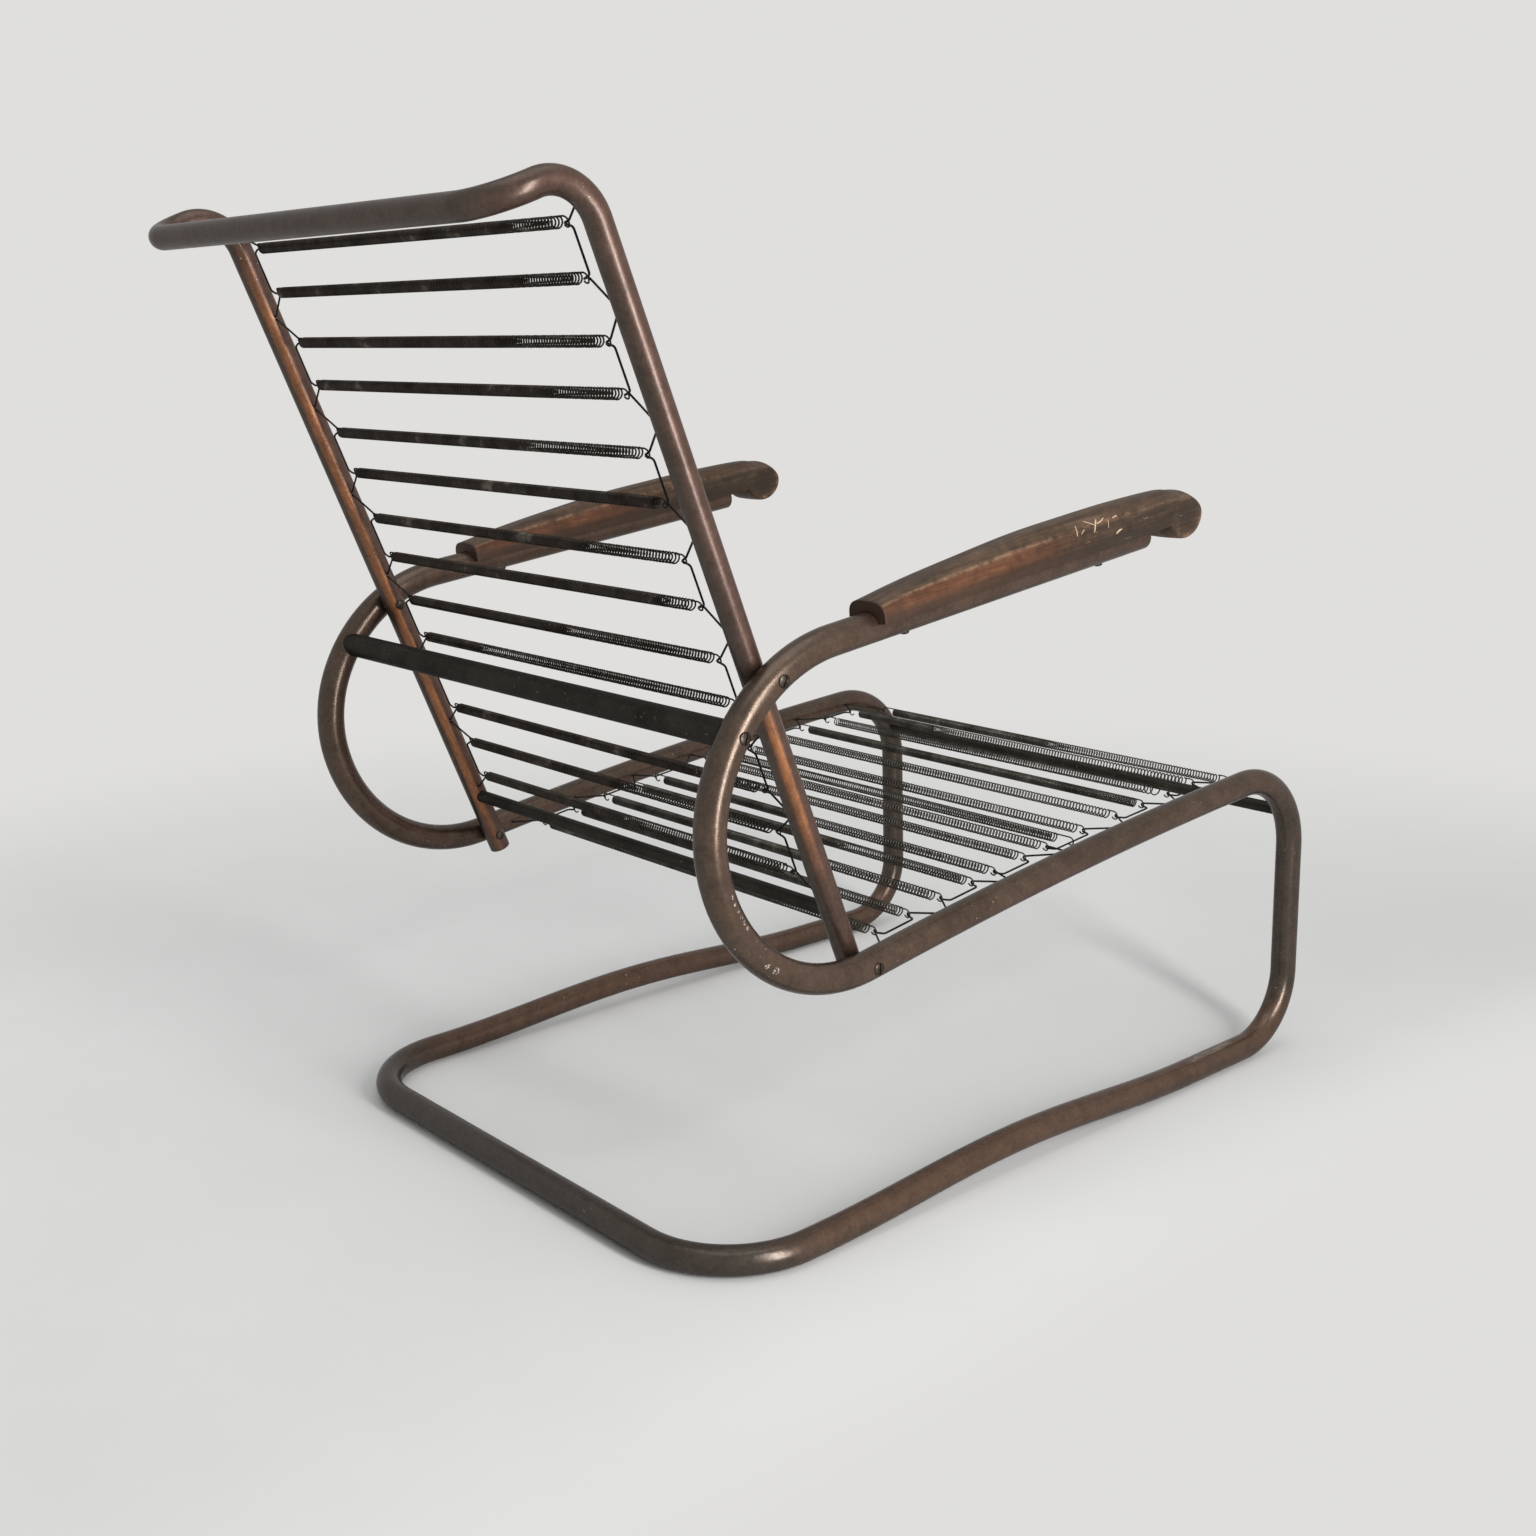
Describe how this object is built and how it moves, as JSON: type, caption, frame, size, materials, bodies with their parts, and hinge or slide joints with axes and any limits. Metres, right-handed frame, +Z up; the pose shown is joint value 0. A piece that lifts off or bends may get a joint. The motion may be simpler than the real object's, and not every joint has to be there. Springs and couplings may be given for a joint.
{
  "type": "cantilever lounge chair",
  "caption": "Cantilever lounge chair of bent steel tube, with extension springs across the seat and back and wooden armrests.",
  "frame": {"origin": "on the floor, under the centre of the chair's bounding box", "axes": "+Z up, +Y towards the chair's back, +X to the sitter's left; the chair faces -Y"},
  "size_m": [0.601, 0.931, 0.8304],
  "materials": {
    "frame_tube": "worn brown metallic lacquer, satin, with chips and scratches",
    "dark_bar": "dark grey oxidised steel",
    "spring_steel": "dark oiled spring steel, worn bright on its turns",
    "holder_wire": "black wire",
    "screw_steel": "worn slotted steel",
    "armrest_wood": "worn reddish-brown stained wood with pale scratches"
  },
  "bodies": {
    "root": {"side_tube_right": "frame_tube", "side_tube_left": "frame_tube", "base_tube": "frame_tube", "back_tube": "frame_tube", "rear_crossbar": "dark_bar", "lower_back_crossbar": "dark_bar", "front_crossbar": "dark_bar", "back_spring_01": "spring_steel", "back_spring_02": "spring_steel", "back_spring_03": "spring_steel", "back_spring_04": "spring_steel", "back_spring_05": "spring_steel", "back_spring_06": "spring_steel", "back_spring_07": "spring_steel", "back_spring_08": "spring_steel", "back_spring_09": "spring_steel", "back_spring_10": "spring_steel", "back_spring_11": "spring_steel", "back_spring_12": "spring_steel", "back_spring_13": "spring_steel", "back_spring_14": "spring_steel", "seat_spring_01": "spring_steel", "seat_spring_02": "spring_steel", "seat_spring_03": "spring_steel", "seat_spring_04": "spring_steel", "seat_spring_05": "spring_steel", "seat_spring_06": "spring_steel", "seat_spring_07": "spring_steel", "seat_spring_08": "spring_steel", "seat_spring_09": "spring_steel", "seat_spring_10": "spring_steel", "seat_spring_11": "spring_steel", "seat_spring_12": "spring_steel", "seat_spring_13": "spring_steel", "seat_spring_14": "spring_steel", "back_wire_right": "holder_wire", "seat_wire_right": "holder_wire", "back_wire_left": "holder_wire", "seat_wire_left": "holder_wire", "armrest_right": "armrest_wood", "arm_plug_right": "dark_bar", "back_upper_screw_right": "screw_steel", "back_upper_nut_right": "screw_steel", "back_lower_screw_right": "screw_steel", "back_lower_nut_right": "screw_steel", "rear_bar_screw_right": "screw_steel", "armrest_screw_front_right": "screw_steel", "armrest_screw_rear_right": "screw_steel", "armrest_left": "armrest_wood", "arm_plug_left": "dark_bar", "back_upper_screw_left": "screw_steel", "back_upper_nut_left": "screw_steel", "back_lower_screw_left": "screw_steel", "back_lower_nut_left": "screw_steel", "rear_bar_screw_left": "screw_steel", "armrest_screw_front_left": "screw_steel", "armrest_screw_rear_left": "screw_steel"}
  },
  "joints": []
}
